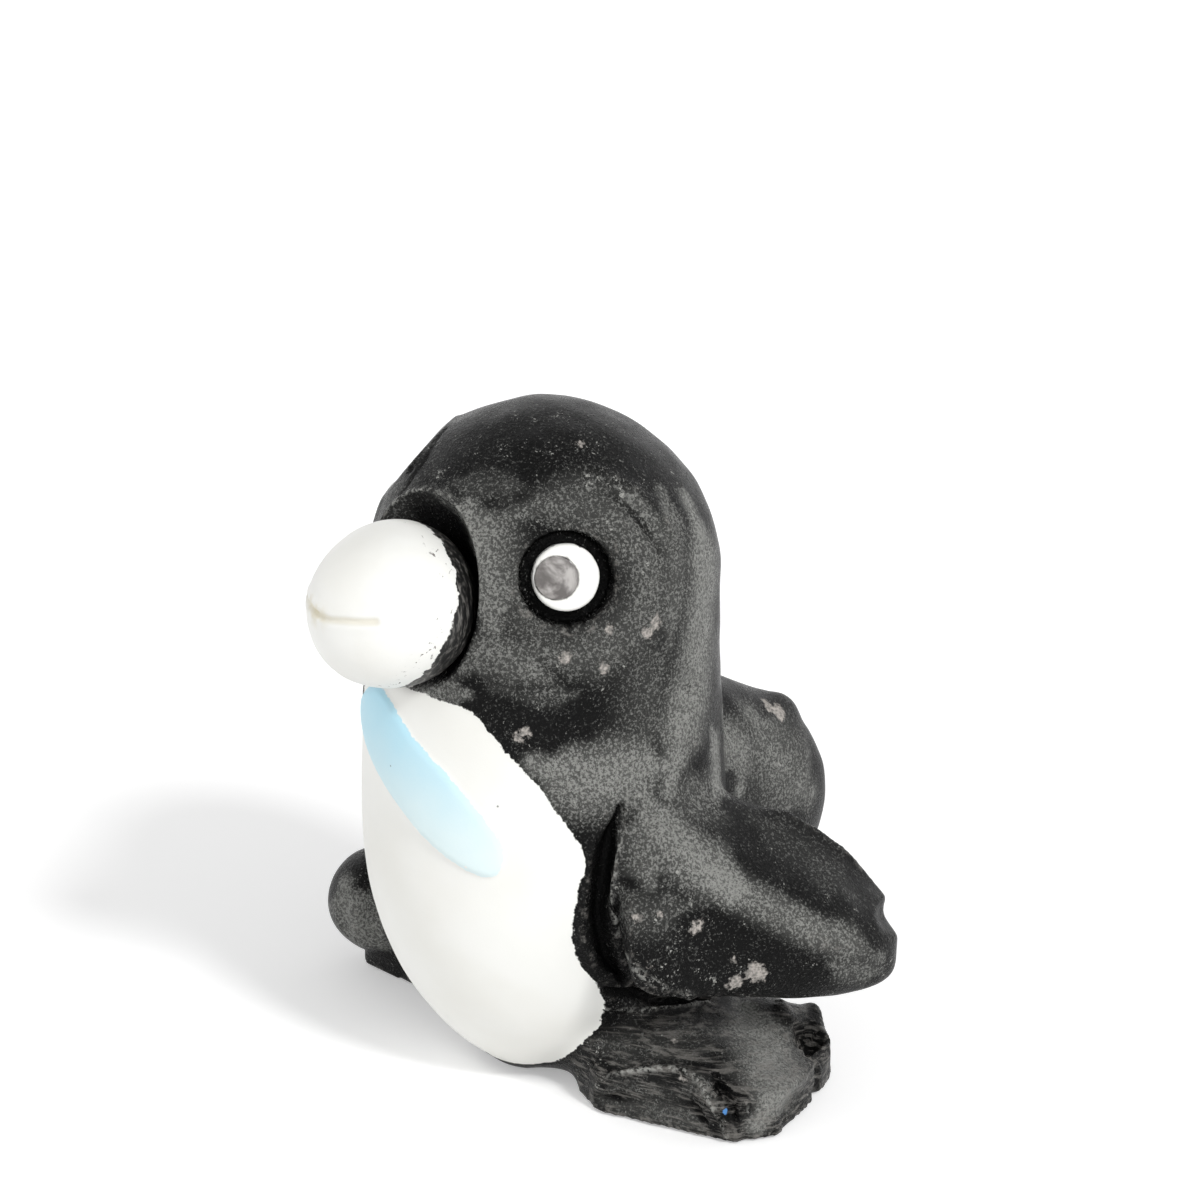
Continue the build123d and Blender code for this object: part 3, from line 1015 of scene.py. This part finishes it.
def beak_paint():
    n = Nodes("beak_paint")
    ragged = n.centred(n.noise(1.1, 5.0, 0.66))
    fine = n.centred(n.noise(0.35, 3.0, 0.6))
    line = n.plus(n.field("rear"), n.times(ragged, 1.5))
    black_share = n.ramp(n.plus(line, n.times(fine, 0.5)), -0.08, 0.06)
    # white with a stained mouth line
    pale = n.mix(n.ramp(n.noise(5.0, 3.0), 0.38, 0.7), WHITE, CREAM)
    front = n.fall(n.math("ABSOLUTE", n.plus(n.field("across"), 1.5)), 0.4, 2.2)
    tint = n.times(n.fall(n.field("mouth"), 0.0, 1.5), front)
    tint = n.times(tint, n.ramp(n.noise(1.2, 3.0), 0.35, 0.7))
    pale = n.mix(n.times(tint, 0.75), pale, STAIN)
    crease = n.fall(n.field("mouth"), 0.08, 0.42)
    pale = n.mix(n.times(crease, 0.35), pale, STAIN)
    # smudges along the edge of the white, and a black rear with grey streaks painted on as sheen
    near_edge = n.fall(n.math("ABSOLUTE", n.plus(n.field("rear"), 1.0)), 0.2, 1.3)
    smudge = n.times(near_edge, n.ramp(n.noise(0.75, 4.0, 0.6, None, 1.2), 0.62, 0.68))
    pale = n.mix(smudge, pale, SMUDGE)
    sheen_streaks = n.noise(0.3, 3.0, 0.65, n.stretched((1.0, 1.0, 5.0), (0.0, 0.0, 0.0)))
    rear_with_sheen = n.mix(n.ramp(sheen_streaks, 0.48, 0.75), BLACK, WORN_AND_SHEEN)
    n.set(n.shader.inputs["Base Color"], n.mix(black_share, pale, rear_with_sheen))
    n.set(n.shader.inputs["Roughness"], n.scaled(n.noise(1.5, 3.0), 0.34, 0.5))
    normal_out = n.bump(n.noise(0.9, 4.0, 0.6), 0.02)
    n.set(n.shader.inputs["Normal"], n.bump(black_share, 0.04, 1.0, normal_out))
    return n.material


# Eyes

EYE_RADIUS = 2.35
PUPIL_SHIFT = 0.7
PUPIL_RADIUS = 1.55
EYE_VOXEL, PUPIL_VOXEL = 0.08, 0.06
EYE_LUMPS = 0.04


def make_eye(side, axis):
    """A white pellet with a grey disc in it, both with hand-cut edges."""
    to_beak = np.array([-cos(EYE_TURN) * np.sign(axis[0]), -sin(EYE_TURN), 0.0])
    spot = HEAD + HEAD_RADIUS * axis + PUPIL_SHIFT * to_beak
    eye = (side + "_eye", "eye_clay", EYE_VOXEL)
    disc = (side + "_pupil", "pupil_clay", PUPIL_VOXEL)
    for node, slot, voxel in (eye, disc):
        places, faces = remeshed([node_mesh(node)], voxel)
        places = even_out(places, edges_of(faces), SKIN_ROUNDS)
        shades = normals_of(places, faces)
        places = places + (EYE_LUMPS * lumps(places, 0.9, 5))[:, None] * shades
        local = places - HEAD
        rim = np.linalg.norm(local - (local @ axis)[:, None] * axis, axis=1)
        to_spot = places - spot
        pupil = np.linalg.norm(to_spot - (to_spot @ axis)[:, None] * axis, axis=1)
        fields = {"rim": rim - EYE_RADIUS, "pupil": pupil - PUPIL_RADIUS}
        shades = normals_of(places, faces)
        finish_piece(node + "_clay", node, places, shades, faces.tolist(), fields, EYE_PAINT)


def eye_paint():
    n = Nodes("eye_paint")
    ragged = n.centred(n.noise(0.6, 4.0, 0.6))
    grey_line = n.plus(n.field("pupil"), n.times(ragged, 0.35))
    grey_share = n.fall(grey_line, -0.1, 0.1)
    marble = n.ramp(n.noise(1.7, 4.0, 0.6, None, 0.4), 0.38, 0.64)
    grey = n.mix(marble, PUPIL_DARK, PUPIL_PALE)
    ring = n.ramp(n.field("pupil"), -0.45, 0.0)
    grey = n.mix(n.times(ring, 0.5), grey, PUPIL_DARK)
    pale = n.mix(n.ramp(n.noise(1.0, 3.0), 0.35, 0.7), WHITE, CREAM)
    colour = n.mix(grey_share, pale, grey)
    # painted shade: the edge of the pellet, down in the socket, darkened past the black paint
    black_line = n.plus(n.field("rim"), n.times(ragged, 0.5))
    colour = n.mix(n.ramp(black_line, -0.02, 0.08), colour, SHADED_PIT_BLACK)
    n.set(n.shader.inputs["Base Color"], colour)
    n.set(n.shader.inputs["Roughness"], n.scaled(n.noise(0.8, 2.0), 0.35, 0.55))
    n.set(n.shader.inputs["Normal"], n.bump(n.noise(0.5, 3.0), 0.02))
    return n.material


EYE_PAINT = eye_paint()
make_beak()
make_eye("left", eye_axis)
make_eye("right", eye_axis * FLIP)


# Studio

SUN_AZIMUTH, SUN_ELEVATION = radians(82), radians(40)
SUN_SPREAD = radians(10)
SUN_STRENGTH = 1.62
HORIZON, ZENITH = 1.5, 0.36
HORIZON_TOP, ZENITH_START = 0.15, 0.75
FLOOR = 0.93
FLOOR_GLOW = 0.3
FLOOR_REACH = 3.0
FLOOR_DROP = 0.0002


def background_seen(tree):
    """1 for rays that show the backdrop itself."""
    path = tree.nodes.new("ShaderNodeLightPath")
    share = path.outputs["Is Camera Ray"]
    for name in ("Is Glossy Ray", "Is Transmission Ray"):
        most = tree.nodes.new("ShaderNodeMath")
        most.operation = "MAXIMUM"
        tree.links.new(share, most.inputs[0])
        tree.links.new(path.outputs[name], most.inputs[1])
        share = most.outputs[0]
    return share


def add_world():
    """A white horizon under a softer ceiling."""
    world = bpy.data.worlds.new("studio")
    bpy.context.scene.world = world
    world.use_nodes = True
    tree = world.node_tree
    place = tree.nodes.new("ShaderNodeTexCoord")
    split = tree.nodes.new("ShaderNodeSeparateXYZ")
    tree.links.new(place.outputs["Generated"], split.inputs[0])
    level = tree.nodes.new("ShaderNodeMapRange")
    level.interpolation_type = "SMOOTHSTEP"
    tree.links.new(split.outputs["Z"], level.inputs["Value"])
    level.inputs["From Min"].default_value = HORIZON_TOP
    level.inputs["From Max"].default_value = ZENITH_START
    level.inputs["To Min"].default_value = HORIZON
    level.inputs["To Max"].default_value = ZENITH
    tree.links.new(level.outputs["Result"], tree.nodes["Background"].inputs["Strength"])
    tree.nodes["Background"].inputs["Color"].default_value = (1, 1, 1, 1)


def add_floor():
    """A pale floor that keeps the shadow and shows white round it."""
    corners = [(x * FLOOR_REACH, y * FLOOR_REACH, 0) for x, y in ((-1, -1), (1, -1), (1, 1), (-1, 1))]
    mesh = bpy.data.meshes.new("floor")
    mesh.from_pydata(corners, [], [(0, 1, 2, 3)])
    floor = bpy.data.objects.new("floor", mesh)
    floor.location.z = -FLOOR_DROP
    bpy.context.scene.collection.objects.link(floor)
    material = bpy.data.materials.new("floor")
    material.use_nodes = True
    tree = material.node_tree
    shader = tree.nodes["Principled BSDF"]
    shader.inputs["Base Color"].default_value = (FLOOR, FLOOR, FLOOR, 1)
    shader.inputs["Roughness"].default_value = 0.9
    shader.inputs["Specular IOR Level"].default_value = 0.0
    glow = tree.nodes.new("ShaderNodeMath")
    glow.operation = "MULTIPLY"
    tree.links.new(background_seen(tree), glow.inputs[0])
    glow.inputs[1].default_value = FLOOR_GLOW
    shader.inputs["Emission Color"].default_value = (1, 1, 1, 1)
    tree.links.new(glow.outputs[0], shader.inputs["Emission Strength"])
    mesh.materials.append(material)


def add_sun():
    data = bpy.data.lights.new("key", "SUN")
    data.energy = SUN_STRENGTH
    data.angle = SUN_SPREAD
    lamp = bpy.data.objects.new("key", data)
    flat = cos(SUN_ELEVATION)
    to_lamp = Vector((flat * sin(SUN_AZIMUTH), -flat * cos(SUN_AZIMUTH), sin(SUN_ELEVATION)))
    lamp.rotation_euler = to_lamp.to_track_quat("Z", "Y").to_euler()
    bpy.context.scene.collection.objects.link(lamp)


bpy.context.scene.view_settings.view_transform = "Standard"
add_world()
add_floor()
add_sun()
add_camera()
